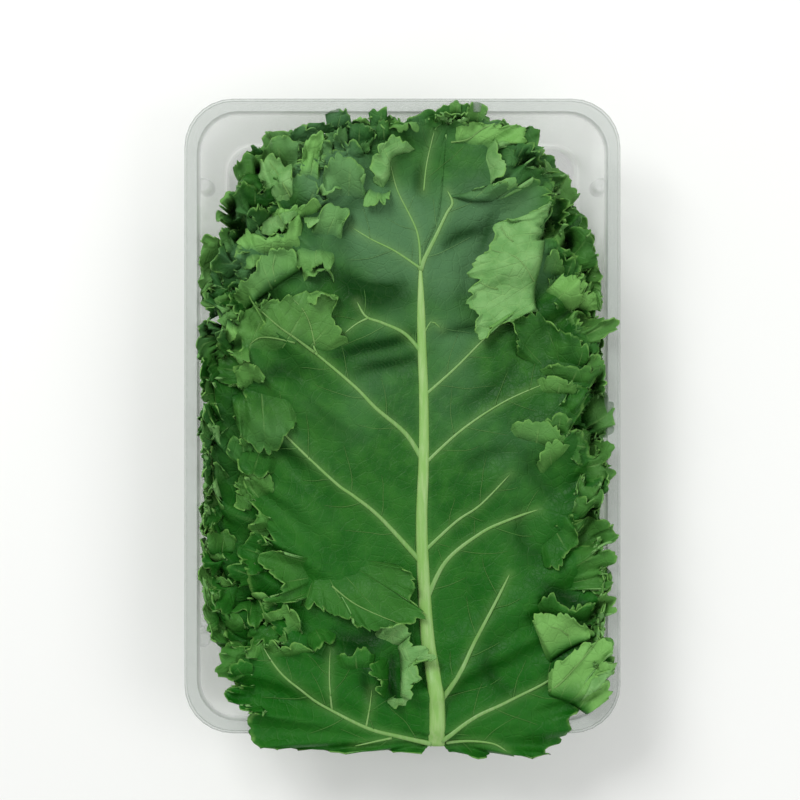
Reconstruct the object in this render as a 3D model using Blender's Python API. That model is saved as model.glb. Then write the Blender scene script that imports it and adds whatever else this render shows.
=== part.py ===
"""Curly kale leaves lying one on another in a clear formed tray, ready for the shop.

Metres, +Z up. The origin is the middle of the tray's flat underside, +Y runs along the leaves
from their cut bases to their tips. Every leaf is one closed solid: its midrib and its lobed,
waved blade are one thin body. The leaves are laid from the bottom up, each draped on what lies
under it, so no two of them touch through each other.
"""

import math
import random

import bmesh
import bpy
from mathutils import Matrix, Vector
from mathutils.bvhtree import BVHTree

# Tray, a shallow rounded box of thin clear sheet with a turned-down rim
TRAY_WIDTH = 0.180
TRAY_LENGTH = 0.262
TRAY_DEPTH = 0.045
TRAY_WALL = 0.0008
TRAY_RIM = 0.0042
TRAY_LIP = 0.0030
TRAY_DRAFT = 0.0075
TRAY_CORNER = 0.020
TRAY_FLOOR_EDGE = 0.0025
TRAY_FLOOR_CHAMFER = 0.3
TRAY_CORNER_TAPER = 0.6
TRAY_CORNER_STEPS = 7

# Leaf blade: thickness, rows of points from the rib to the edge, and points along one lobe's edge
BLADE = 0.0009
ROWS_LOW = (0.0, 0.40, 0.76, 1.0)
ROWS_TOP = (0.0, 0.32, 0.60, 0.83, 1.0)
STEPS_LOW = 6
STEPS_TOP = 8

# Ruffles, frills and swells of the blade, as waves a lobe, shares of the blade's width, or heights
WAVES_LOW = 1.5
WAVES_TOP = 2.0
RUFFLE_LOW = 0.0062
RUFFLE_TOP = 0.0044
RUFFLE_STARTS = 0.40
FRILL = 0.035
NOTCH = 0.17
NOTCH_SPREAD = (0.7, 1.3)
SWELL = 0.0016
SWELL_LENGTH = 0.075
SWELL_SLANT = 0.6
CUP_BOTTOM = 0.004
CUP_TOP = 0.012

# Midrib: width at the base, how it tapers, its width at the tip, and how it stands out on both faces
RIB_LOW = 0.0058
RIB_TOP = 0.0072
RIB_TAPER = 0.8
RIB_TIP_HALF = 0.0006
RIB_RAISED = 0.45
RIB_DEPTH = 0.95

# Laying the leaves
GAP = 0.0004
DRAPE_ROUNDS = 70
DRAPE_SAG = 0.00006
CLEAR_ROUNDS = 120
CLEAR_STEP = 0.0003
CLEAR_TEST = 0.8
SKY = 0.3
TOP_HELD = 0.041

# Room that a leaf keeps from the rim's outer edge, low in the tray and high in it
ROOM_BOTTOM = 0.0165
ROOM_TOP = 0.0062
ROOM_ROUND = 7.0
ROOM_SOFT = 0.86

# The top leaf, face up: midrib and lobe tips from its cut base to its tip
TOP_MIDRIB = (
    (0.0140, -0.1350), (0.0130, -0.1080), (0.0100, -0.0800), (0.0085, -0.0420),
    (0.0088, -0.0040), (0.0080, 0.0340), (0.0085, 0.0640), (0.0150, 0.0830), (0.0180, 0.1150),
)
TOP_TIP = (0.0220, 0.1290)
TOP_FEET = (0.0, 0.01, 0.03, 0.13, 0.27, 0.41, 0.55, 0.69, 0.86, 1.0)
TOP_LEFT = (
    (0.0080, -0.1385), (-0.0570, -0.1350), (-0.0720, -0.1020), (-0.0640, -0.0640), (-0.0670, -0.0180),
    (-0.0700, 0.0260), (-0.0670, 0.0670), (-0.0500, 0.1010), (-0.0150, 0.1180),
)
TOP_RIGHT = (
    (0.0195, -0.1390), (0.0620, -0.1375), (0.0870, -0.1010), (0.0840, -0.0640), (0.0820, -0.0200),
    (0.0800, 0.0260), (0.0730, 0.0640), (0.0610, 0.0980), (0.0480, 0.1190),
)
TOP_SEED = 18

# The lower leaves, bottom one first: place of the base, turn in degrees, length, width, seed
LOW_LEAVES = (
    ("leaf_1", (0.004, -0.108), 2.0, 0.222, 0.150, 11),
    ("leaf_2", (-0.004, 0.112), 178.0, 0.224, 0.152, 12),
    ("leaf_3", (0.010, -0.112), 4.0, 0.228, 0.156, 13),
    ("leaf_4", (0.004, 0.114), 183.0, 0.230, 0.160, 15),
    ("leaf_5", (0.022, -0.112), 4.0, 0.238, 0.164, 16),
    ("leaf_6", (-0.020, -0.108), -4.0, 0.240, 0.168, 17),
)
LOW_LOBES = 6
LOW_BOW = 0.05
LOW_MIDRIB_ENDS = 0.95
LOW_EAR = (0.05, 0.012)
LOW_LOBE_SPAN = (-0.03, 0.96)
LOW_LOBE_SHIFT = 0.015
LOW_WIDTH_ARC = (0.14, 0.74, 0.55)
LOW_WIDTH_SPREAD = (0.93, 1.07)
LOW_FEET = (0.02, 0.86, 0.3, 1.25)

SHARP_EDGE = 40
MERGE = 0.000001

LEAF_GREEN = (0.060, 0.190, 0.045, 1.0)
CLEAR_SHEET = (0.86, 0.90, 0.88, 0.25)


def clear_scene():
    for obj in list(bpy.data.objects):
        bpy.data.objects.remove(obj)


def finish(name, colour, roughness):
    """A Principled material of one colour."""
    material = bpy.data.materials.new(name)
    material.use_nodes = True
    shader = material.node_tree.nodes["Principled BSDF"]
    shader.inputs["Base Color"].default_value = colour
    shader.inputs["Roughness"].default_value = roughness
    shader.inputs["Metallic"].default_value = 0.0
    shader.inputs["Alpha"].default_value = colour[3]
    return material


def put(name, bm, material):
    """Turns a bmesh into a named, smooth-shaded object with one material."""
    mesh = bpy.data.meshes.new(name)
    bm.to_mesh(mesh)
    mesh.materials.append(material)
    mesh.shade_smooth()
    mesh.set_sharp_from_angle(angle=math.radians(SHARP_EDGE))
    obj = bpy.data.objects.new(name, mesh)
    bpy.context.scene.collection.objects.link(obj)
    return obj


def path_point(points, t):
    """The point at t, counted in points, on a smooth curve through all of them."""
    last = len(points) - 1
    i = min(int(t), last - 1)
    u = t - i
    p0, p1 = Vector(points[max(i - 1, 0)]), Vector(points[i])
    p2, p3 = Vector(points[i + 1]), Vector(points[min(i + 2, last)])
    return 0.5 * (
        2 * p1 + (p2 - p0) * u + (2 * p0 - 5 * p1 + 4 * p2 - p3) * u * u
        + (3 * p1 - p0 - 3 * p2 + p3) * u ** 3
    )


def steady(values, t):
    """The value at t, counted in values, on straight lines between them."""
    i = min(int(t), len(values) - 2)
    return values[i] + (values[i + 1] - values[i]) * (t - i)


def ease(x):
    """0 to 1, smooth at both ends."""
    x = max(0.0, min(1.0, x))
    return x * x * (3 - 2 * x)


class Leaf:
    """The plan of a leaf: midrib, lobe tips on each side, and how its blade waves."""

    def __init__(self, midrib, tip, feet, left, right, rib, ruffle, waves, seed, room=None, cup=0.0):
        self.room = room
        self.cup = cup
        self.waves = waves
        self.midrib = midrib
        self.feet = feet
        self.tips = {-1: (*left, tip), 1: (*right, tip)}
        self.rib = rib
        self.ruffle = ruffle
        draw = random.Random(seed)
        self.notch = [NOTCH * draw.uniform(*NOTCH_SPREAD) for _ in range(2 * len(feet))]
        self.phase = {side: draw.uniform(0, math.tau) for side in (-1, 1)}
        self.swell = [draw.uniform(0, math.tau) for _ in range(3)]

    def centre(self, foot):
        return path_point(self.midrib, foot * (len(self.midrib) - 1))

    def across(self, foot):
        """Unit direction from the midrib to its right-hand side."""
        step = 0.01
        low, high = max(foot - step, 0.0), min(foot + step, 1.0)
        run = self.centre(high) - self.centre(low)
        return Vector((run.y, -run.x)).normalized()

    def rib_half(self, foot):
        return self.rib / 2 * (1 - foot) ** RIB_TAPER + RIB_TIP_HALF

    def margin(self, side, along):
        """The edge of the blade at along, from 0 at the base to 1 at the tip: lobed and frilled."""
        t = along * (len(self.feet) - 1)
        foot = self.centre(steady(self.feet, t))
        edge = path_point(self.tips[side], t)
        lobe = min(int(t + 0.5), len(self.feet) - 1) + (len(self.feet) if side > 0 else 0)
        ends = ease(t) * ease(len(self.feet) - 1 - t)
        cut = self.notch[lobe] * (1 - abs(math.cos(math.pi * t)))
        frill = FRILL * math.sin(2 * math.tau * self.waves * t + self.phase[side])
        return edge.lerp(foot, (cut + frill) * ends)

    def point(self, side, along, reach):
        """Plan point at reach, from 0 at the rib's edge to 1 at the margin."""
        foot = steady(self.feet, along * (len(self.feet) - 1))
        root = self.centre(foot) + self.across(foot) * side * self.rib_half(foot)
        return self.kept_in(root.lerp(self.margin(side, along), reach))

    def kept_in(self, spot):
        """A plan point drawn in, where it has to be, so that it stays within the tray's walls."""
        if self.room is None:
            return spot
        half_x, half_y = TRAY_WIDTH / 2 - self.room, TRAY_LENGTH / 2 - self.room
        out = (abs(spot.x / half_x) ** ROOM_ROUND + abs(spot.y / half_y) ** ROOM_ROUND) ** (1 / ROOM_ROUND)
        if out <= ROOM_SOFT:
            return spot
        spare = 1 - ROOM_SOFT
        return spot * ((ROOM_SOFT + spare * (1 - math.exp((ROOM_SOFT - out) / spare))) / out)

    def wave(self, side, along, reach, at):
        """Height of the blade's ruffles, of its broad swell and of its edges, curled up by the walls."""
        t = along * (len(self.feet) - 1)
        grow = ease((reach - RUFFLE_STARTS) / (1 - RUFFLE_STARTS))
        ruffle = self.ruffle * grow * math.sin(math.tau * self.waves * t + self.phase[side])
        a, b, c = self.swell
        k = math.tau / SWELL_LENGTH
        crossed = math.sin(k * at.x + a) * math.sin(k * at.y + b)
        slanted = SWELL_SLANT * math.sin(k * SWELL_SLANT * (at.x + at.y) + c)
        return ruffle + SWELL * (crossed + slanted) * ease(reach) + self.cup * reach * reach


def low_leaf(base, turn, length, width, seed, room, cup):
    """A leaf grown by rule: lobes in pairs along a nearly straight midrib."""
    draw = random.Random(seed)
    turned = Matrix.Rotation(math.radians(turn), 2)

    def place(x, y):
        return turned @ Vector((x, y)) + Vector(base)

    bow = draw.uniform(-LOW_BOW, LOW_BOW) * length
    steps = [i / LOW_LOBES for i in range(LOW_LOBES + 1)]
    midrib = [place(bow * math.sin(math.pi * up), LOW_MIDRIB_ENDS * length * up) for up in steps]
    ear_out, ear_down = LOW_EAR
    first, span = LOW_LOBE_SPAN
    start, arc, power = LOW_WIDTH_ARC
    tips = {side: [place(side * ear_out * width, -ear_down * length)] for side in (-1, 1)}
    for side in (-1, 1):
        for i in range(LOW_LOBES):
            up = (i + 0.5) / LOW_LOBES
            half = width / 2 * math.sin(math.pi * (start + arc * up)) ** power
            half *= draw.uniform(*LOW_WIDTH_SPREAD)
            shift = draw.uniform(-LOW_LOBE_SHIFT, LOW_LOBE_SHIFT)
            tips[side].append(place(side * half, (first + span * up + shift) * length))
    lowest, reach, lead, spread = LOW_FEET
    feet = [lowest + reach * ((i + lead) / LOW_LOBES) ** spread for i in range(LOW_LOBES)]
    feet = [0.0, *feet, 1.0]
    return Leaf(
        midrib, place(0.0, length), feet, tips[-1], tips[1], RIB_LOW, RUFFLE_LOW, WAVES_LOW, seed, room, cup
    )


def sheet(leaf, rows, steps):
    """The blade as a welded sheet of triangles, with each vertex's number and thickness.

    A flat grid is mapped on to the leaf: across it runs from the base up the left side, round
    the tip and down the right side, and up it from the midrib's middle to the margin.
    """
    columns = (len(leaf.feet) - 1) * steps
    bm = bmesh.new()
    bmesh.ops.create_grid(bm, x_segments=2 * columns, y_segments=len(rows), size=1)
    thick = bm.verts.layers.float.new("thick")
    for v in bm.verts:
        side = 1 if v.co.x > 0 else -1
        along = 1 - abs(v.co.x)
        row = round((v.co.y + 1) / 2 * len(rows))
        foot = steady(leaf.feet, along * (len(leaf.feet) - 1))
        if row == 0:
            at = leaf.centre(foot)
            height = RIB_RAISED * leaf.rib_half(foot) + leaf.wave(side, along, 0, at)
            v[thick] = BLADE + RIB_DEPTH * leaf.rib_half(foot)
        else:
            at = leaf.point(side, along, rows[row - 1])
            height = leaf.wave(side, along, rows[row - 1], at)
            v[thick] = BLADE
        v.co = (at.x, at.y, height)
    bmesh.ops.remove_doubles(bm, verts=bm.verts, dist=MERGE)
    bmesh.ops.triangulate(bm, faces=bm.faces)
    number = bm.verts.layers.int.new("number")
    for i, v in enumerate(bm.verts):
        v[number] = i
    bm.verts.index_update()
    return bm


def surface_height(below, x, y):
    """The highest surface under a plan point."""
    top = 0.0
    for tree in below:
        hit = tree.ray_cast(Vector((x, y, SKY)), Vector((0, 0, -1)))[0]
        if hit is not None:
            top = max(top, hit.z)
    return top


def drape(bm, below, held):
    """Lets a sheet down on what lies below it, keeping its own waves and sagging smoothly between."""
    thick = bm.verts.layers.float["thick"]
    own = [v.co.z for v in bm.verts]
    floor = [max(surface_height(below, v.co.x, v.co.y), held) + GAP + v[thick] for v in bm.verts]
    near = [[e.other_vert(v).index for e in v.link_edges] for v in bm.verts]
    level = [low - wave for low, wave in zip(floor, own)]
    for _ in range(DRAPE_ROUNDS):
        level = [
            max(sum(level[j] for j in near[i]) / len(near[i]) - DRAPE_SAG, floor[i] - own[i])
            for i in range(len(level))
        ]
    for v, wave, rise in zip(bm.verts, own, level):
        v.co.z = wave + rise


def thicken(bm):
    """Adds the underside straight below the sheet, so both faces have the same triangles."""
    thick = bm.verts.layers.float["thick"]
    under = bmesh.ops.extrude_face_region(bm, geom=list(bm.faces), use_keep_orig=True)
    for v in under["geom"]:
        if isinstance(v, bmesh.types.BMVert):
            v.co.z -= v[thick]
    bmesh.ops.triangulate(bm, faces=bm.faces)
    bmesh.ops.recalc_face_normals(bm, faces=bm.faces)


def lowered_tree(bm, drop):
    """A search tree of a body moved down by drop."""
    bm.verts.index_update()
    points = [v.co - Vector((0, 0, drop)) for v in bm.verts]
    faces = [[v.index for v in f.verts] for f in bm.faces]
    return BVHTree.FromPolygons(points, faces, all_triangles=True)


def solid_leaf(leaf, rows, steps, below, held=0.0):
    """A draped, thickened leaf, raised where it has to be until it is clear of every body below it."""
    bm = sheet(leaf, rows, steps)
    drape(bm, below, held)
    number = bm.verts.layers.int["number"]
    for _ in range(CLEAR_ROUNDS):
        body = bm.copy()
        thicken(body)
        copied = body.verts.layers.int["number"]
        tree = lowered_tree(body, GAP * CLEAR_TEST)
        body.faces.ensure_lookup_table()
        touching = {mine for other in below for mine, _ in tree.overlap(other)}
        raised = {v[copied] for face in touching for v in body.faces[face].verts}
        if not touching:
            return body
        body.free()
        for v in bm.verts:
            if v[number] in raised:
                v.co.z += CLEAR_STEP
    raise ValueError("a leaf can't be cleared of the ones below it")


def outline(inset, z):
    """The points of a rounded rectangle, drawn in from the tray's rim, at one height."""
    half_x, half_y = TRAY_WIDTH / 2 - inset, TRAY_LENGTH / 2 - inset
    corner = TRAY_CORNER - inset * TRAY_CORNER_TAPER
    spots = []
    for sx, sy, start in ((1, 1, 0), (-1, 1, 90), (-1, -1, 180), (1, -1, 270)):
        middle = Vector((sx * (half_x - corner), sy * (half_y - corner), z))
        for i in range(TRAY_CORNER_STEPS + 1):
            a = math.radians(start + 90 * i / TRAY_CORNER_STEPS)
            spots.append(middle + Vector((corner * math.cos(a), corner * math.sin(a), 0)))
    return spots


def tray_profile():
    """Insets from the rim's outer edge, with heights: up the outside, round the rim and down the inside."""
    wall = TRAY_RIM + TRAY_WALL
    foot = wall + TRAY_DRAFT
    edge = TRAY_FLOOR_EDGE
    chamfer = edge * TRAY_FLOOR_CHAMFER
    half = TRAY_WALL / 2
    return [
        (foot + edge, 0.0),
        (foot + chamfer, chamfer),
        (foot, edge),
        (wall, TRAY_DEPTH - TRAY_WALL),
        (TRAY_WALL, TRAY_DEPTH - TRAY_WALL),
        (TRAY_WALL, TRAY_DEPTH - TRAY_LIP),
        (0.0, TRAY_DEPTH - TRAY_LIP),
        (0.0, TRAY_DEPTH - half),
        (half, TRAY_DEPTH),
        (wall + half, TRAY_DEPTH),
        (foot + TRAY_WALL, edge + TRAY_WALL),
        (foot + chamfer + TRAY_WALL, chamfer + TRAY_WALL),
        (foot + edge + TRAY_WALL, TRAY_WALL),
    ]


def tray_body():
    """The tray as one closed shell: its rim's outline extruded along the wall's profile."""
    bm = bmesh.new()
    place = bm.verts.layers.int.new("place")
    (inset, z), *onward = tray_profile()
    loop = [bm.verts.new(spot) for spot in outline(inset, z)]
    for i, v in enumerate(loop):
        v[place] = i
    edges = [bm.edges.new(pair) for pair in zip(loop, loop[1:] + loop[:1])]
    bmesh.ops.contextual_create(bm, geom=edges)
    for inset, z in onward:
        spots = outline(inset, z)
        grown = bmesh.ops.extrude_edge_only(bm, edges=edges)["geom"]
        for v in grown:
            if isinstance(v, bmesh.types.BMVert):
                v.co = spots[v[place]]
        edges = [e for e in grown if isinstance(e, bmesh.types.BMEdge)]
    bmesh.ops.contextual_create(bm, geom=edges)
    bmesh.ops.recalc_face_normals(bm, faces=bm.faces)
    return bm


def main():
    clear_scene()
    green = finish("kale_leaf", LEAF_GREEN, 0.5)
    clear = finish("clear_sheet", CLEAR_SHEET, 0.08)
    tray = tray_body()
    put("tray", tray, clear)
    bmesh.ops.triangulate(tray, faces=tray.faces)
    below = [lowered_tree(tray, 0.0)]
    for i, (name, base, turn, length, width, seed) in enumerate(LOW_LEAVES):
        high = i / (len(LOW_LEAVES) - 1)
        room = ROOM_BOTTOM + (ROOM_TOP - ROOM_BOTTOM) * high
        leaf = low_leaf(base, turn, length, width, seed, room, CUP_BOTTOM + (CUP_TOP - CUP_BOTTOM) * high)
        body = solid_leaf(leaf, ROWS_LOW, STEPS_LOW, below)
        put(name, body, green)
        below.append(lowered_tree(body, 0.0))
    top = Leaf(
        TOP_MIDRIB, TOP_TIP, TOP_FEET, TOP_LEFT, TOP_RIGHT, RIB_TOP, RUFFLE_TOP, WAVES_TOP, TOP_SEED
    )
    put("top_leaf", solid_leaf(top, ROWS_TOP, STEPS_TOP, below, TOP_HELD), green)


main()
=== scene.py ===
"""Curly kale leaves in a clear formed tray: fine blades, ribs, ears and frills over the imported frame."""

import math
import random

import bmesh
import bpy
import numpy as np
from mathutils import Matrix, Vector
from mathutils.bvhtree import BVHTree
from mathutils.kdtree import KDTree


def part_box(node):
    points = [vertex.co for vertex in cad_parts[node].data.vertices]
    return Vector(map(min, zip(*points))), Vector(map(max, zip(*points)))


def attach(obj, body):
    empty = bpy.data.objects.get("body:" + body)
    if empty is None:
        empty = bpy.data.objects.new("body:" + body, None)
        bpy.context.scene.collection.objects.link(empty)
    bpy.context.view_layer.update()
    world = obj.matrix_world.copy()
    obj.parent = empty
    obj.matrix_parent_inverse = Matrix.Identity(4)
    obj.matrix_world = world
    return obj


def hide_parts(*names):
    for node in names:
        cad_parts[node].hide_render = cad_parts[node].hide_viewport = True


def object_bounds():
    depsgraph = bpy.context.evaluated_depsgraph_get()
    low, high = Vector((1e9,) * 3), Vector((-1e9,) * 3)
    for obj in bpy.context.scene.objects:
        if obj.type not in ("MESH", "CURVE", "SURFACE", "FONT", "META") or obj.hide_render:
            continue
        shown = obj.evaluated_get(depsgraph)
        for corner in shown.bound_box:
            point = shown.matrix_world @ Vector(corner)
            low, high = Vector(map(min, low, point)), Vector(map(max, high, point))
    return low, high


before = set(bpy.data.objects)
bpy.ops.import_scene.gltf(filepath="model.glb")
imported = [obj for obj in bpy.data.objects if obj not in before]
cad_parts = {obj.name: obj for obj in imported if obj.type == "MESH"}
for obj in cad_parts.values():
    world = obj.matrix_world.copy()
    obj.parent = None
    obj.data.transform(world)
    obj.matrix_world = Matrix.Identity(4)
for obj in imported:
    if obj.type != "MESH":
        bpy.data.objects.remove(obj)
packed_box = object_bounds()

# Tray, as packed, and its stacking lugs
tray_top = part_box("tray")[1]
TRAY_WIDTH, TRAY_LENGTH, TRAY_DEPTH = tray_top.x * 2, tray_top.y * 2, tray_top.z
TRAY_WALL = 0.0008
TRAY_RIM = 0.0042
TRAY_DRAFT = 0.0075
INSIDE_X, INSIDE_Y = TRAY_WIDTH / 2 - TRAY_RIM, TRAY_LENGTH / 2 - TRAY_RIM
LUG_RADIUS = 0.0036
LUG_HEIGHT = 0.016
LUG_X = INSIDE_X - 0.0032
LUG_PLACES = (-0.093, -0.085, 0.096)

# Room for the leaves: top, bottom and sides, and a height well above everything
HIGHEST = packed_box[1].z + 0.0012
LOWEST = 0.0018
SIDE = 0.0893
SKY = 0.3

# The top leaf's plan, from its cut base to its tip
TOP_MIDRIB = (
    (0.014, -0.135), (0.013, -0.108), (0.01, -0.08), (0.0085, -0.042),
    (0.0088, -0.004), (0.008, 0.034), (0.0085, 0.064), (0.015, 0.083), (0.018, 0.115),
)
TOP_TIP = (0.022, 0.129)
TOP_FEET = (0.0, 0.01, 0.03, 0.13, 0.27, 0.41, 0.55, 0.69, 0.86, 1.0)
TOP_LEFT = (
    (0.008, -0.1385), (-0.057, -0.135), (-0.072, -0.102), (-0.064, -0.064), (-0.067, -0.018),
    (-0.07, 0.026), (-0.067, 0.067), (-0.05, 0.101), (-0.015, 0.118),
)
TOP_RIGHT = (
    (0.0195, -0.139), (0.062, -0.1375), (0.087, -0.101), (0.084, -0.064), (0.082, -0.02),
    (0.08, 0.026), (0.073, 0.064), (0.061, 0.098), (0.048, 0.119),
)
TOP_RIB = 0.0072

# The lower leaves, bottom one first: place of the base, turn in degrees, length, width, seed
LOW_LEAVES = (
    ("leaf_1", (0.004, -0.108), 2.0, 0.222, 0.150, 11),
    ("leaf_2", (-0.004, 0.112), 178.0, 0.224, 0.152, 12),
    ("leaf_3", (0.010, -0.112), 4.0, 0.228, 0.156, 13),
    ("leaf_4", (0.004, 0.114), 183.0, 0.230, 0.160, 15),
    ("leaf_5", (0.022, -0.112), 4.0, 0.238, 0.164, 16),
    ("leaf_6", (-0.020, -0.108), -4.0, 0.240, 0.168, 17),
)
LOW_LOBES = 6
LOW_RIB = 0.0058

# Blade: its thickness, how wide and how high it swells beside a rib, how far a lobe's edge curls, and
# how deep a lobe is rooted
BLADE = 0.00055
RIB_HALO = 0.0022
RIB_SWELL = 0.0003
CURL = 0.0022
SUNK = 0.0013

# Height and length of the round lobules and of the teeth on them, along a blade's and a lobe's edge
BLADE_LOBULE, BLADE_TOOTH = (0.0042, 0.0105), (0.0016, 0.0042)
LOBULE, TOOTH = (0.0022, 0.0058), (0.0007, 0.0034)

# Greens
GREEN_DEEP = (0.011, 0.074, 0.008, 1)
GREEN_MID = (0.026, 0.120, 0.017, 1)
GREEN_FRESH = (0.055, 0.200, 0.026, 1)
# Painted shade, laid over fold hollows, lobes of dark tone and the lower leaves
GREEN_PAINTED_SHADE = (0.003, 0.040, 0.003, 1)
GREEN_LOW = (0.004, 0.110, 0.003, 1)
# Lighter green for lobes of light tone, partly their own colour and partly painted light
GREEN_LIGHT = (0.190, 0.430, 0.105, 1)
BLOOM = (0.075, 0.180, 0.078, 1)
UNDERSIDE = (0.125, 0.300, 0.085, 1)
UNDERSIDE_PALE = (0.190, 0.390, 0.130, 1)
VEIN = (0.240, 0.430, 0.130, 1)
# Paler green of the leaf margins, partly their own colour and partly a painted highlight where they curl
RIM_AND_HIGHLIGHT = (0.170, 0.370, 0.080, 1)
RIB_PALE = (0.290, 0.470, 0.160, 1)
RIB_GREEN = (0.180, 0.400, 0.065, 1)
RIB_DARK = (0.215, 0.420, 0.100, 1)
RIB_FAINT = (0.060, 0.200, 0.035, 1)

# Tray plastic: two tints of its cloudiness, and painted shade on its turned edge
TRAY_CLOUDY = (0.88, 0.92, 0.90, 1)
TRAY_CLEAR = (0.97, 0.98, 0.97, 1)
TRAY_EDGE_SHADE = (0.36, 0.41, 0.37, 1)

# Ribs of the top leaf: their points, x and y in turn, and the width at the start and at the end, all in
# millimetres
MM = 0.001
TOP_RIBS = (
    ((14, -136, 14, -116, 10.5, -92, 8.8, -67, 8, -43, 8.8, -18, 8.8, 7, 8, 31, 7.6, 52, 7.4, 63), 7.6,
     3.4),
    ((7.4, 60, 9.2, 65, 13.7, 74, 18.2, 83.5, 20.7, 88, 18.5, 93), 2.8, 0.9),
    ((7.4, 61, -3, 68, -13, 73, -21, 78), 1.4, 0.4),
    ((7.4, 62, 6, 76, -2, 93, -5, 104), 1.3, 0.4),
    ((8.8, 93, 10, 104, 13, 117), 0.8, 0.4),
    ((8.2, 26, 1, 34, -8.4, 38.5, -15, 41, -18.7, 47), 2.4, 0.8),
    ((-14, 40.5, -19, 38, -24, 34), 1.1, 0.4),
    ((8.8, -19, 1.4, -7.4, -11, 3.3, -19.5, 12, -36, 26, -48, 35, -60, 45), 2.8, 0.6),
    ((-35, 25, -38, 33, -40, 44), 1.1, 0.4),
    ((8.5, -61, -9, -42, -20, -33, -27, -28, -42, -14, -56, 0), 2.8, 0.7),
    ((12, -135, -1.4, -132, -15, -128, -33, -119, -42, -112, -50, -105, -58, -94), 2.6, 0.6),
    ((-15, -128, -13.5, -120, -12.5, -112), 1.1, 0.3),
    ((-29, -121, -30, -108, -29.7, -96), 1.1, 0.3),
    ((-4.3, -132.5, -12, -134, -20, -136), 1.2, 0.5),
    ((8.6, -56, 22, -43.5, 32, -36.5, 44, -24), 2.0, 0.5),
    ((9.4, -77, 17.8, -60, 32, -48.4, 43, -43, 56, -38.5), 2.8, 0.9),
    ((13, -121, 23, -106, 31, -90, 39, -75, 44, -65), 3.0, 1.0),
    ((16, -134, 29.7, -124, 42.4, -118, 58.8, -110, 70, -101, 79, -92), 2.4, 0.6),
    ((18, -134.5, 29, -134, 37.5, -135, 43, -138), 1.7, 0.6),
    ((9, 34, 12, 39, 16, 36), 0.7, 0.3),
    ((8.6, 8, 22, 20, 36, 34, 48, 44), 1.6, 0.4),
    ((8.8, -20, 24, -6, 42, 6, 60, 14), 1.8, 0.4),
)
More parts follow.
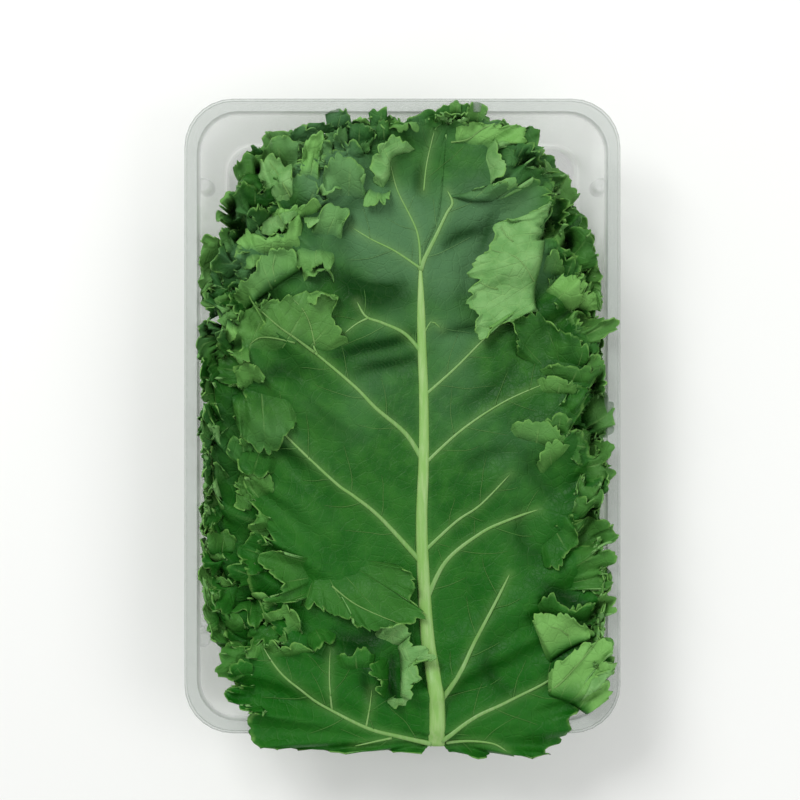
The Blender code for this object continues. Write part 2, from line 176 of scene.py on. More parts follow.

# Lobes of the bunch's face, the back ones first, in millimetres: the line where each starts and its free
# edge, both as x and y in turn, how far the edge lifts, how high it ruffles, its tone from dark to light,
# partly the lobe's own green and partly painted light and shade, and then "under" if it shows its
# underside and "fold" if it is folded over
LOBES = (
    ((-39, 117, -31, 117), (-43, 119, -40, 122, -38, 124, -34, 124, -30, 122, -28, 118), 1, 1, -0.15),
    ((-31, 118, -23, 119), (-32, 125, -28, 126, -24, 127, -22, 124, -21, 121), 1, 1, -0.12),
    ((-21, 121, -15, 121), (-21, 125, -18, 126, -16, 125, -13, 123), 1, 0.8, 0.6),
    ((-13, 118, -5, 118), (-14, 125, -11, 127, -7, 126, -6, 122), 1, 1, -0.15),
    ((-4, 117, 7, 118), (-6, 122, -2, 123, 0, 124, 1, 126, 3, 126, 7, 126, 9, 124), 1, 1, 0),
    ((-49, 114, -39, 113), (-46, 116, -43, 120, -39, 119, -35, 118, -31, 114), 2, 1, -0.15),
    ((-22, 111, -14, 113), (-23, 117, -22, 121, -20, 122, -17, 120, -14, 120, -11, 115), 2, 1.2, -0.1),
    ((-28, 106, -18, 106), (-29, 110, -28, 113, -25, 114, -23, 112, -20, 113, -16, 109, -15, 107), 2, 1.2,
     -0.07),
    ((-11, 111, -4, 113), (-11, 118, -10, 122, -8, 124, -6, 122, -5, 118), 2, 1, -0.04),
    ((-5, 121, 6, 122), (-6, 118, -3, 118, 0, 116, 3, 118, 6, 116, 7, 118), 2, 0.9, 0.3),
    ((-66, 87, -56, 86), (-72, 92, -69, 94, -65, 96, -61, 94, -58, 92, -55, 94, -52, 95, -51, 91), 1, 1.8,
     -0.12),
    ((-70, 84, -68, 79), (-70, 89, -72, 90, -76, 86, -74, 84, -72, 83, -76, 79, -74, 78, -72, 78), 1, 1.4,
     -0.1),
    ((-66, 72, -58, 80), (-72, 74, -70, 80, -66, 84, -62, 86, -58, 86, -55, 83), 2, 1.4, -0.06),
    ((-69, 60, -60, 65), (-74, 71, -77, 65, -78, 62, -76, 59, -72, 57), 1, 1.5, -0.14),
    ((-73, 50, -68, 55), (-78, 62, -80, 60, -81, 56, -79, 53, -81, 50, -78, 48), 1, 1.5, -0.12),
    ((-74, 42, -68, 46), (-80, 51, -81, 48, -79, 45, -81, 44, -80, 40), 1, 1.5, -0.1),
    ((-55, 99, -43, 99), (-62, 103, -60, 108, -58, 110, -55, 113, -50, 115, -46, 115, -43, 113, -43, 107),
     1.5, 0.8, 0.1),
    ((-43, 96, -34, 95), (-42, 106, -41, 110, -38, 115, -34, 117, -32, 115, -34, 110, -34, 105), 3, 0.9,
     0.5),
    ((-51, 86, -45, 87), (-61, 101, -58, 105, -54, 107, -50, 105, -49, 104, -46, 103, -45, 98, -44, 94), 4,
     0.8, 0.25, "under"),
    ((-47, 84, -32, 85), (-46, 97, -43, 99, -39, 98, -34, 95, -35, 92, -32, 89, -29, 91), 3, 0.7, -0.04),
    ((-34, 98, -27, 97), (-34, 92, -32, 89, -30, 91, -25, 94, -25, 95), 4, 0.5, 0.5, "under"),
    ((-31, 88, -14, 88), (-33, 98, -32, 102, -27, 107, -22, 106, -18, 103, -15, 100, -17, 98, -15, 92), 3,
     0.9, 0.1),
    ((-8, 94, -5, 99, -4, 106, 3, 109), (-12, 96, -12, 103, -10, 110, -7, 113, -3, 115, 0, 113, 5, 110), 5,
     0.6, 0.4, "under", "fold"),
    ((-13, 95, -7, 92), (-15, 92, -16, 87, -12, 85, -9, 87, -7, 86, -6, 89, -5, 93), 4, 0.7, 0.35),
    ((-64, 67, -55, 65, -43, 65), (-70, 73, -66, 78, -63, 76, -57, 74, -51, 75, -46, 79, -43, 83, -41, 79),
     3, 0.9, 0.45),
    ((-54, 80, -37, 82), (-54, 84, -52, 85, -49, 85, -45, 86, -41, 86, -38, 88, -36, 89, -33, 86), 4, 0.8,
     0.5),
    ((-58, 82, -51, 85, -43, 86), (-59, 76, -54, 75, -49, 77, -46, 80, -43, 83), 6, 0.6, 0.4, "under"),
    ((-39, 74, -25, 72), (-36, 80, -34, 83, -31, 87, -26, 86, -22, 84, -24, 80, -25, 75), 3, 0.7, 0.2),
    ((-40, 83, -34, 83), (-41, 82, -39, 78, -37, 78, -34, 80), 5, 0.4, 0.6, "under"),
    ((-43, 71, -28, 69), (-45, 65, -43, 61, -39, 59, -36, 60, -34, 63, -32, 61, -29, 60, -28, 64), 3, 1,
     0.25),
    ((-42, 61, -30, 61), (-41, 55, -39, 57, -35, 57, -33, 60, -29, 59, -28, 55), 3, 0.9, 0.3),
    ((-65, 67, -59, 68), (-65, 60, -63, 60, -60, 62, -58, 65), 3, 0.9, 0.3),
    ((-65, 44, -61, 46, -52, 53, -42, 60), (-71, 49, -67, 55, -62, 57, -58, 64, -53, 69, -49, 69, -44, 67,
     -43, 63), 5, 0.7, 0.2, "fold"),
    ((-66, -14, -52, -14), (-68, -20, -66, -25, -62, -24, -59, -26, -56, -24, -52, -23), 2, 1.6, -0.06),
    ((-70, 8, -60, 14, -46, 8), (-69, -3, -66, -9, -61, -14, -54, -15, -48, -10, -43, -2), 3, 1.2, 0),
    ((-60, 78, -62, 88), (-66, 94, -71, 91, -73, 86, -75, 82, -72, 78, -68, 74), 2, 1.2, -0.05),
    ((-82, 39, -76, 31), (-80, 41, -81, 36, -83, 33, -82, 33, -79, 32, -78, 29), 1, 1.2, -0.09),
    ((-78, 27, -75, 17), (-79, 27, -82, 21, -81, 19, -82, 16, -78, 14), 1, 1.3, -0.06),
    ((-72, 40, -68, 38), (-73, 32, -71, 30, -68, 31, -67, 35), 3, 0.7, 0.45),
    ((-71, 30, -62, 30), (-71, 27, -68, 23, -65, 21, -62, 21, -63, 26), 3, 0.9, 0.15),
    ((-71, 26, -54, 23, -44, 27, -33, 25), (-66, 44, -51, 48, -39, 51, -27, 49, -29, 41, -25, 35, -22, 30),
     3, 0.7, 0.15),
    ((-40, 51, -28, 51), (-39, 46, -36, 46, -34, 48, -32, 50, -28, 48, -26, 49), 4, 0.7, 0.35),
    ((19, 123, 25, 123), (19, 127, 20, 129, 23, 130, 24, 128, 24, 125), 1, 0.5, 0.15),
    ((25, 121, 36, 120), (26, 125, 28, 129, 31, 129, 35, 128, 34, 125, 36, 123), 1, 0.9, 0.2),
    ((36, 117, 45, 114), (39, 121, 42, 124, 42, 121, 48, 121, 48, 118), 1, 1, 0.1),
    ((36, 110, 39, 101), (39, 114, 44, 110, 48, 107, 48, 103, 44, 102), 1, 1, -0.06),
    ((21, 111, 36, 109), (22, 121, 28, 123, 33, 124, 36, 121, 42, 119, 48, 120, 51, 117, 51, 112, 46, 112,
     39, 113), 2, 0.9, 0.5),
    ((33, 107, 36, 95), (38, 114, 39, 109, 41, 104, 41, 99, 39, 97, 36, 95), 5, 0.9, 0.5, "under"),
    ((31, 89, 45, 90), (35, 94, 42, 97, 44, 97, 47, 95, 46, 92), 4, 0.8, 0.4, "under"),
    ((36, 88, 36, 80), (45, 94, 51, 94, 54, 98, 57, 96, 61, 92, 59, 91, 63, 88, 60, 86, 57, 82, 51, 79), 2,
     0.8, -0.03),
    ((19, 91, 28, 88, 37, 88), (27, 92, 33, 94, 42, 95, 43, 92), 3, 0.4, 0, "fold"),
    ((59, 78, 60, 82), (59, 76, 62, 76, 63, 81, 61, 83), 3, 0.5, 0.4),
    ((59, 67, 65, 65), (59, 71, 62, 74, 63, 71, 67, 69, 66, 67, 69, 65), 1, 1.3, -0.12),
    ((65, 57, 70, 57), (65, 67, 68, 65, 71, 64, 71, 59), 1, 1.2, -0.06),
    ((57, 57, 65, 57), (58, 64, 62, 68, 65, 64, 67, 59), 3, 1.1, 0.1),
    ((69, 33, 75, 30), (73, 43, 77, 40, 81, 40, 84, 39, 87, 40, 88, 36, 84, 34, 81, 30, 79, 31), 2, 1.2,
     0.1),
    ((68, 45, 75, 43), (70, 58, 74, 58, 76, 55, 75, 51, 78, 51, 82, 49, 85, 45, 80, 44), 3, 1.3, 0.7),
    ((57, 51, 68, 42), (63, 54, 64, 57, 68, 58, 70, 57, 73, 52, 73, 45), 4, 1.3, 0.5),
    ((57, 19, 74, 19), (47, 25, 47, 32, 45, 37, 47, 40, 52, 42, 56, 42, 61, 38, 69, 33, 76, 27, 76, 22), 4,
     0.8, -0.06),
    ((61, 88, 59, 78, 57, 63, 55, 53, 55, 46, 56, 43), (60, 87, 50, 82, 45, 80, 42, 80, 39, 79, 37, 74,
     35, 68, 31, 65, 27, 58, 30, 55, 27, 51, 27, 46, 30, 41, 29, 36, 33, 31, 37, 37, 43, 38, 48, 41), 6,
     0.8, 0.3, "under", "fold"),
    ((59, 15, 79, 11), (56, 19, 62, 22, 70, 20, 79, 20, 83, 19, 83, 14), 2, 1.4, 0),
    ((73, 0, 79, -10), (81, 11, 84, 9, 87, 6, 87, 0, 88, -6, 85, -9), 2, 1.4, 0.1),
    ((73, -14, 75, -29), (84, -10, 87, -13, 84, -19, 87, -23, 84, -28), 2, 1.4, 0.1),
    ((57, 8, 70, 8), (55, 15, 59, 16, 65, 15, 70, 13, 72, 10), 3, 1.1, 0.2),
    ((47, -10, 62, -16), (44, -6, 47, -2, 55, -2, 62, -4, 67, -9), 3, 0.8, 0.15),
    ((58, -26, 65, -17), (55, -20, 57, -13, 62, -10, 69, -12), 3, 0.9, 0.2),
    ((-80, -57, -69, -57), (-81, -51, -79, -48, -71, -48, -68, -53), 2, 1.2, 0.05),
    ((-78, -63, -71, -57), (-84, -53, -82, -55, -84, -61, -80, -64, -79, -67), 1, 1.5, -0.09),
    ((-73, -73, -67, -67), (-79, -66, -81, -69, -76, -73, -77, -79, -71, -83), 1, 1.5, -0.06),
    ((-67, -77, -58, -75), (-71, -81, -68, -81, -65, -81, -63, -86, -59, -87, -57, -82), 2, 1.4, -0.03),
    ((-57, -86, -47, -83), (-63, -88, -64, -90, -61, -94, -58, -92, -56, -95, -51, -93), 2, 1.4, -0.03),
    ((-37, -58, -36, -75), (-44, -58, -48, -56, -53, -55, -59, -58, -58, -61, -54, -64, -51, -68, -49, -72,
     -53, -74, -57, -75, -54, -77, -47, -76, -40, -75), 4, 0.7, 0),
    ((-52, -101, -32, -96), (-57, -95, -53, -92, -50, -95, -46, -94, -43, -92, -38, -95, -32, -91), 3, 0.8,
     0.1),
    ((-37, -66, -17, -59), (-42, -78, -33, -79, -27, -82, -20, -84, -19, -86, -11, -89, -5, -87, 5, -84,
     9, -81, 3, -75, 5, -70, 3, -64, -3, -61), 4, 0.8, -0.01),
    ((-13, -92, -3, -96), (-9, -87, -1, -85, 3, -89, 3, -93), 5, 0.6, 0.3, "under"),
    ((-2, -95, -1, -102, -1, -115), (3, -90, 3, -93, 10, -95, 14, -99, 6, -99, 5, -102, 8, -107, 4, -109,
     4, -115, 1, -116), 6, 0.5, 0.35, "under", "fold"),
    ((-25, -106, -18, -105, -12, -105), (-28, -99, -25, -97, -21, -98, -18, -95, -14, -96, -11, -98), 3,
     1.2, -0.05),
    ((-5, -101, -5, -108, -6, -116), (-9, -100, -14, -102, -12, -106, -8, -108, -11, -112, -8, -116), 3,
     0.9, -0.05),
    ((-40, -88, -33, -86), (-39, -94, -35, -96, -32, -93, -29, -94, -27, -90), 3, 1.1, -0.05),
    ((-7, -115, 3, -115), (-6, -118, -3, -120, -1, -119, 2, -119), 3, 0.4, 0.5, "under"),
    ((63, -54, 69, -63, 66, -73), (68, -44, 79, -42, 86, -45, 87, -50, 81, -53, 86, -56, 87, -60, 81, -63,
     86, -66, 85, -70, 78, -71), 3, 1.2, 0.05),
    ((79, -77, 80, -85), (80, -73, 84, -72, 87, -75, 86, -80, 81, -81), 3, 1.0, 0.3),
    ((77, -90, 77, -104), (79, -85, 84, -86, 82, -90, 87, -93, 85, -97, 80, -99, 86, -102, 86, -106,
     80, -104), 3, 1.1, 0.15),
    ((57, -83, 66, -84, 75, -86), (55, -78, 58, -74, 62, -73, 65, -77, 70, -79, 75, -77, 79, -78, 80, -83),
     3, 1.0, -0.03),
    ((56, -52, 62, -46, 66, -38), (58, -62, 64, -62, 67, -56, 72, -52, 71, -44), 2.5, 1.0, -0.06),
    ((60, -102, 69, -96, 80, -91), (54, -86, 53, -82, 59, -81, 67, -81, 74, -85, 80, -90), 4, 0.5, 0.47,
     "fold"),
    ((60, -115, 68, -118, 76, -123), (60, -106, 63, -101, 70, -96, 80, -91, 87, -94, 83, -98, 88, -103,
     79, -105, 85, -110, 84, -116, 78, -121), 4, 0.6, 0.5, "fold"),
)

# Folds and hollows of the top blade: points in millimetres, the width of the slope on the line's right,
# its height, below nought for a hollow, and how much painted shade darkens the steep side on its left
TOP_FOLDS = (
    ((-31, 23, -18, 27, -4, 30, 8, 35), 5.0, -2.4, 1.3),
    ((-22, 17, -12, 20, 0, 22, 10, 26), 5.0, -2.2, 1.1),
    ((14, 33, 26, 36, 40, 36), 5.0, -1.6, 0.7),
    ((3, 55, -6, 52, -17, 53, -27, 60), 11.0, -3.0, 1.5),
    ((-20, 66, -25, 74, -23, 84, -15, 92), 8.0, -1.6, 0.6),
    ((16, 68, 24, 74, 34, 76), 6.0, -2.0, 0.8),
    ((37, 84, 34, 74, 31, 66), 4.0, -1.2, 0.7),
    ((7, 106, 6, 98, 7, 90), 6.0, -1.5, 0.8),
    ((-60, -10, -50, -14, -38, -22), 7.0, -2.0, 0.6),
    ((-62, 14, -50, 18, -40, 15), 7.0, -1.8, 0.7),
    ((-6, -88, -18, -93, -30, -90), 10.0, -2.8, 1.1),
    ((-4, -98, -5, -108, -3, -119), 3.2, -3.6, 1.8),
    ((-14, -100, -16, -109, -13, -118), 5.0, -1.8, 0.8),
    ((80, -82, 66, -74, 56, -68), 8.0, -2.4, 1.1),
    ((48, -116, 38, -109, 35, -99, 43, -90), 7.0, -2.2, 0.6),
    ((60, -60, 50, -52, 48, -36), 8.0, -2.0, 0.6),
    ((64, -34, 56, -26, 48, -14), 7.0, -1.6, 0.6),
    ((24, -24, 34, -16, 50, -14), 6.0, -1.4, 0.4),
    ((-14, -10, -26, -4, -40, 8), 6.0, -1.4, 0.5),
    ((24, 4, 36, 10, 50, 24), 6.0, -1.4, 0.5),
)

# Ribs that run over the lobes, in the same way as the top leaf's
LOBE_RIBS = (
    ((-36, 26, -44, 32, -51, 37, -60, 45), 1.5, 0.4),
    ((-36, 29, -38, 38, -41, 44, -45, 48), 0.8, 0.3),
    ((-44, 30, -53, 32, -59, 32, -63, 29), 0.8, 0.4),
    ((54, 55, 47, 64, 39, 67, 36, 68), 0.9, 0.3),
    ((45, 71, 42, 74, 40, 78), 0.6, 0.3),
    ((39, 52, 35, 53, 31, 55), 0.7, 0.3),
    ((-46, 90, -51, 99, -55, 105), 0.9, 0.3),
    ((-52, 55, -53, 61, -52, 67), 0.6, 0.25),
    ((-29, -70, -20, -77, -9, -82, -1, -85), 0.9, 0.3),
    ((68, -90, 64, -87, 60, -86), 0.6, 0.3),
    ((60, -113, 67, -107, 80, -91), 1, 0.4),
    ((20, 113, 27, 114, 33, 118, 39, 120), 0.8, 0.3),
)


def ease(x):
    x = np.clip(x, 0.0, 1.0)
    return x * x * (3 - 2 * x)


def pairs(line):
    return np.reshape(line, (-1, 2))


def unit(runs):
    """Directions, each one unit long."""
    return runs / np.maximum(np.linalg.norm(runs, axis=-1, keepdims=True), 1e-9)


def lengths(points):
    """The length of a line of points up to each of them."""
    return np.concatenate(([0.0], np.cumsum(np.linalg.norm(np.diff(points, axis=0), axis=1))))


def spline(points, t):
    """Points at t, counted in points, on a smooth curve through all of them."""
    points = np.asarray(points, float)
    last = len(points) - 1
    t = np.clip(np.asarray(t, float), 0, last)
    i = np.minimum(t.astype(int), last - 1)
    u = (t - i)[..., None]
    p0, p1 = points[np.maximum(i - 1, 0)], points[i]
    p2, p3 = points[i + 1], points[np.minimum(i + 2, last)]
    return 0.5 * (
        2 * p1 + (p2 - p0) * u + (2 * p0 - 5 * p1 + 4 * p2 - p3) * u ** 2
        + (3 * p1 - p0 - 3 * p2 + p3) * u ** 3
    )


def wobble(s, wavelength, seed):
    """A smooth random line of about unit height over a length."""
    draw = random.Random(seed)
    total = np.zeros_like(s)
    for stretch in (0.61, 0.83, 1.0, 1.31, 1.87):
        total += np.sin(math.tau * s / (wavelength * stretch) + draw.uniform(0, math.tau))
    return total / 2.4


def scallops(s, wavelength, seed):
    """Round lobules of unit height with sharp notches between them, uneven in length and height."""
    run = math.pi * s / wavelength + 1.3 * wobble(s, wavelength * 3.1, seed)
    return (np.abs(np.sin(run)) - 0.62) * (1 + 0.45 * wobble(s, wavelength * 4.7, seed + 1))


def relief(x, y, wavelength, seed):
    """A smooth random surface of about unit height over a plane."""
    draw = random.Random(seed)
    total = np.zeros_like(x)
    for _ in range(7):
        turn = draw.uniform(0, math.tau)
        length = wavelength * draw.uniform(0.7, 1.6)
        run = x * math.cos(turn) + y * math.sin(turn)
        total += np.sin(math.tau * run / length + draw.uniform(0, math.tau))
    return total / 2.8


class Plan:
    """A leaf laid flat: its midrib and its edge on both sides."""

    def __init__(self, midrib, tip, feet, left, right, rib, seed, level, boxed):
        self.midrib = np.array(midrib, float)
        self.feet = np.array(feet, float)
        self.tips = {-1: np.array((*left, tip), float), 1: np.array((*right, tip), float)}
        self.rib = rib
        self.seed = seed
        self.level = level
        self.boxed = boxed
        self.lobes = len(feet) - 1

    def foot(self, t):
        return np.interp(t, np.arange(self.lobes + 1), self.feet)

    def centre(self, foot):
        return spline(self.midrib, foot * (len(self.midrib) - 1))

    def across(self, foot):
        run = unit(self.centre(np.minimum(foot + 0.01, 1)) - self.centre(np.maximum(foot - 0.01, 0)))
        return np.stack((run[..., 1], -run[..., 0]), axis=-1)

    def rib_half(self, foot):
        return self.rib / 2 * (1 - foot) ** 0.8 + 0.0006

    def edge(self, side, t):
        """The lobed edge, with the cuts between lobes."""
        foot = self.centre(self.foot(t))
        edge = spline(self.tips[side], t)
        ends = ease(t) * ease(self.lobes - t)
        cut = 0.15 * (1 - np.abs(np.cos(math.pi * t))) * (1 + 0.4 * wobble(t, 2.3, self.seed + side))
        return edge + (foot - edge) * (cut * ends)[..., None]

    def arc(self, side):
        """The edge's length up to each of many steps of t."""
        t = np.linspace(0, self.lobes, 800)
        return t, lengths(self.edge(side, t))


def low_plan(base, turn, length, width, seed, level):
    """The plan of a lower leaf, grown by rule."""
    draw = random.Random(seed)
    turned = Matrix.Rotation(math.radians(turn), 2)

    def place(x, y):
        return turned @ Vector((x, y)) + Vector(base)

    bow = draw.uniform(-0.05, 0.05) * length
    steps = [i / LOW_LOBES for i in range(LOW_LOBES + 1)]
    midrib = [place(bow * math.sin(math.pi * up), 0.95 * length * up) for up in steps]
    tips = {side: [place(side * 0.05 * width, -0.012 * length)] for side in (-1, 1)}
    for side in (-1, 1):
        for i in range(LOW_LOBES):
            up = (i + 0.5) / LOW_LOBES
            half = width / 2 * math.sin(math.pi * (0.14 + 0.74 * up)) ** 0.55
            half *= draw.uniform(0.93, 1.07)
            shift = draw.uniform(-0.015, 0.015)
            tips[side].append(place(side * half, (-0.03 + 0.96 * up + shift) * length))
    feet = [0.02 + 0.86 * ((i + 0.3) / LOW_LOBES) ** 1.25 for i in range(LOW_LOBES)]
    feet = [0.0, *feet, 1.0]
    return Plan(midrib, place(0.0, length), feet, tips[-1], tips[1], LOW_RIB, seed, level, True)


def kept_in(xy, z, spare, free=0.86):
    """Plan points drawn in so that they stay inside the tray's walls at their height."""
    inset = TRAY_RIM + TRAY_WALL + spare + TRAY_DRAFT * (1 - np.clip(z / TRAY_DEPTH, 0, 1))
    half_x, half_y = TRAY_WIDTH / 2 - inset, TRAY_LENGTH / 2 - inset
    out = (np.abs(xy[:, 0] / half_x) ** 7 + np.abs(xy[:, 1] / half_y) ** 7) ** (1 / 7)
    drawn = free + (1 - free) * (1 - np.exp((free - out) / (1 - free)))
    scale = np.where(out > free, drawn / np.maximum(out, 1e-9), 1.0)
    return xy * scale[:, None]


def heights(tree, xy, start, down=True):
    """Where plumb rays meet a surface, nan where they miss it."""
    way = Vector((0, 0, -1 if down else 1))
    found = np.full(len(xy), np.nan)
    for i, (x, y) in enumerate(xy):
        hit = tree.ray_cast(Vector((x, y, start)), way)[0]
        if hit is not None:
            found[i] = hit.z
    return found


def node_tree(name):
    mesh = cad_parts[name].data
    return BVHTree.FromPolygons([v.co for v in mesh.vertices], [p.vertices for p in mesh.polygons])


LAYERS = ("lobe", "reach", "edge", "tone", "under", "rib")


def new_sheets():
    bm = bmesh.new()
    for name in LAYERS:
        bm.verts.layers.float.new(name)
    return bm


def grid(bm, across, up):
    """A flat welded grid added to a bmesh: its vertices, and their places from -1 to 1 and from 0 to 1."""
    made = bmesh.ops.create_grid(bm, x_segments=across, y_segments=up, size=1)["verts"]
    spots = np.array([v.co for v in made])
    return made, spots[:, 0], (spots[:, 1] + 1) / 2


def write(bm, made, points, **values):
    """Moves vertices to their points and writes their layers, each one value or an array."""
    for v, point in zip(made, points):
        v.co = point
    for name, value in values.items():
        layer = bm.verts.layers.float[name]
        for v, one in zip(made, np.broadcast_to(value, len(made)).tolist()):
            v[layer] = one


def face_up(bm, made):
    """Turns a new sheet's faces up."""
    faces = list({face for v in made for face in v.link_faces})
    for face in faces:
        face.normal_update()
    if sum(face.normal.z for face in faces) < 0:
        bmesh.ops.reverse_faces(bm, faces=faces)


def folded(xy, folds):
    """The rise that folds give at plan points, and the painted shade that darkens their steep sides."""
    rise, dark = np.zeros(len(xy)), np.zeros(len(xy))
    for points, width, high, shade in folds:
        path = rib_path(points)
        along = unit(np.gradient(path, axis=0))
        gaps = xy[:, None] - path[None]
        near = np.argmin((gaps ** 2).sum(axis=-1), axis=1)
        off, run = gaps[np.arange(len(xy)), near], along[near]
        far = np.linalg.norm(off, axis=1) / (width * MM)
        steep = run[:, 0] * off[:, 1] > run[:, 1] * off[:, 0]
        ends = np.sin(math.pi * (near + 0.5) / len(path)) ** 0.7
        rise += high * MM * ends * np.exp(-(far * np.where(steep, 4.0, 1.0)) ** 2)
        dark += shade * ends * np.exp(-(far * np.where(steep, 1.3, 2.6)) ** 2)
    return rise, dark


def edge_of(plan, side, t):
    """A leaf's edge at steps t, each point on its own side: its place, the length up to it, its run."""
    edge, run, s = np.zeros((len(t), 2)), np.zeros((len(t), 2)), np.zeros(len(t))
    for one in (-1, 1):
        mine = side == one
        edge[mine] = plan.edge(one, t[mine])
        steps, arc = plan.arc(one)
        s[mine] = np.interp(t[mine], steps, arc) + one
        ahead = plan.edge(one, np.minimum(t[mine] + 0.02, plan.lobes))
        behind = plan.edge(one, np.maximum(t[mine] - 0.02, 0))
        run[mine] = unit(ahead - behind)
    return edge, s, run


def toothed(s, lobule, tooth, seed, tooth_seed):
    """How far lobules with smaller teeth on them stand out along an edge."""
    return lobule[0] * scallops(s, lobule[1], seed) + tooth[0] * scallops(s, tooth[1], tooth_seed)


def add_blade(bm, plan, packed, columns, rows, ruffle, tone, ribs, folds, above):
    """The fine sheet of a leaf's blade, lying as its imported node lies, with a frilled, toothed edge."""
    made, x, reach = grid(bm, 2 * columns, rows)
    side = np.where(x > 0, 1, -1)
    t = (1 - np.abs(x)) * plan.lobes
    foot = plan.foot(t)
    centre = plan.centre(foot)
    half = plan.rib_half(foot) * 0.6 * np.minimum(reach * rows, 1)
    root = centre + plan.across(foot) * (side * half)[:, None]
    edge, s, run = edge_of(plan, side, t)
    seed = plan.seed
    way = reach ** 0.85
    ends = ease(t * 2) * ease((plan.lobes - t) * 2)
    teeth = toothed(s, BLADE_LOBULE, BLADE_TOOTH, seed + 7, seed + 1)
    xy = root + (edge - root) * way[:, None] + unit(edge - centre) * (teeth * way ** 6 * ends)[:, None]
    if plan.boxed:
        xy = kept_in(xy, np.full(len(xy), plan.level), 0.0012)

    z = heights(node_tree(packed), xy, SKY)
    z = soft(filled(z, 2 * columns + 1, rows + 1), 2 * columns + 1, rows + 1, 10)
    wave = math.tau * s / 0.0165 + 1.6 * wobble(s, 0.031, seed + 3)
    fine = math.tau * s / 0.0072 + 1.2 * wobble(s, 0.013, seed + 4)
    grow, small = way ** 8 * ends, way ** 14 * ends
    uneven = 1 + 0.5 * wobble(s, 0.05, seed + 5)
    z += ruffle * (grow * np.sin(wave) * uneven + 0.38 * small * np.sin(fine))
    z += 0.0007 * relief(xy[:, 0], xy[:, 1], 0.030, seed + 6) * ease(way * 3)
    shift = 0.6 * ruffle * grow * np.cos(wave) + 0.2 * ruffle * small * np.cos(fine)
    xy = xy + run * shift[:, None]
    if plan.boxed:
        notch = 0.0035 * np.clip(wobble(s, 0.017, seed + 8), 0, 1)
        notch = notch + 0.0025 * (0.4 - scallops(s, 0.0105, seed + 9))
        xy = kept_in(xy, z, 0.0008 + notch)
    # Painted shade: dark darkens the steep side of each fold through the tone written below.
    rise, dark = folded(xy, folds)
    z = under_all(xy, z + rise, above)
    near = 0.0
    if ribs is not None:
        near = np.array([np.exp(-((ribs.find((a, b, 0))[2] / RIB_HALO) ** 2)) for a, b in xy])
        z = z + RIB_SWELL * near
    write(
        bm, made, np.column_stack((xy, z)), lobe=t if ribs is None else 0.0, reach=way,
        edge=ease((way - 0.97) / 0.03), tone=tone - dark, rib=near * 0.16,
    )
    face_up(bm, made)
    bmesh.ops.remove_doubles(bm, verts=made, dist=0.00001)


def soft(values, across, up, rounds):
    """Evens out values on a grid."""
    values = values.reshape(up, across)
    for _ in range(rounds):
        wide = np.pad(values, 1, mode="edge")
        beside = (wide[:-2, 1:-1], wide[2:, 1:-1], wide[1:-1, :-2], wide[1:-1, 2:])
        values = sum(beside, wide[1:-1, 1:-1] * 2) / 6
    return values.ravel()


def filled(values, across, up):
    """Values on a grid, with each missing one taken from the row next to it."""
    rows = values.reshape(up, across).copy()
    for row, beside in [(i, i - 1) for i in range(1, up)] + [(i, i + 1) for i in range(up - 2, -1, -1)]:
        missed = np.isnan(rows[row])
        rows[row, missed] = rows[beside, missed]
    return np.where(np.isnan(rows), np.nanmean(rows), rows).ravel()


def under_all(xy, z, above):
    """Keeps a sheet below the leaves that lie on it, above the tray's floor and below HIGHEST."""
    for tree in above:
        roof = heights(tree, xy, -0.01, down=False)
        z = np.where(np.isnan(roof), z, np.minimum(z, roof - BLADE - 0.0003))
    spare = 0.004
    high = HIGHEST - spare
    z = np.where(z > high, high + spare * (1 - np.exp(-(z - high) / spare)), z)
    return np.maximum(z, LOWEST)


def even(points, share):
    """Points at shares of the length of a smooth curve through the given ones, and that length."""
    fine = spline(points, np.linspace(0, len(points) - 1, 300))
    arc = lengths(fine)
    spots = np.clip(share, 0, 1) * arc[-1]
    return np.column_stack([np.interp(spots, arc, fine[:, k]) for k in (0, 1)]), arc[-1]


def top_of(trees, xy):
    """The highest surface under the sky at each point, nan where there is none."""
    return np.fmax.reduce([heights(tree, xy, SKY) for tree in trees])


def lobe_ground(ground, xy, start, limit, columns, rows):
    """The height that a lobe lies on, taken from its root or from the rest where nothing is below it."""
    below, base = top_of(ground, xy), top_of(ground, start)
    known = below[~np.isnan(below)]
    level = float(known.mean()) if len(known) else limit
    below = np.where(np.isnan(below), np.where(np.isnan(base), level, base) - 0.001, below)
    return soft(below, columns + 1, rows + 1, 3)


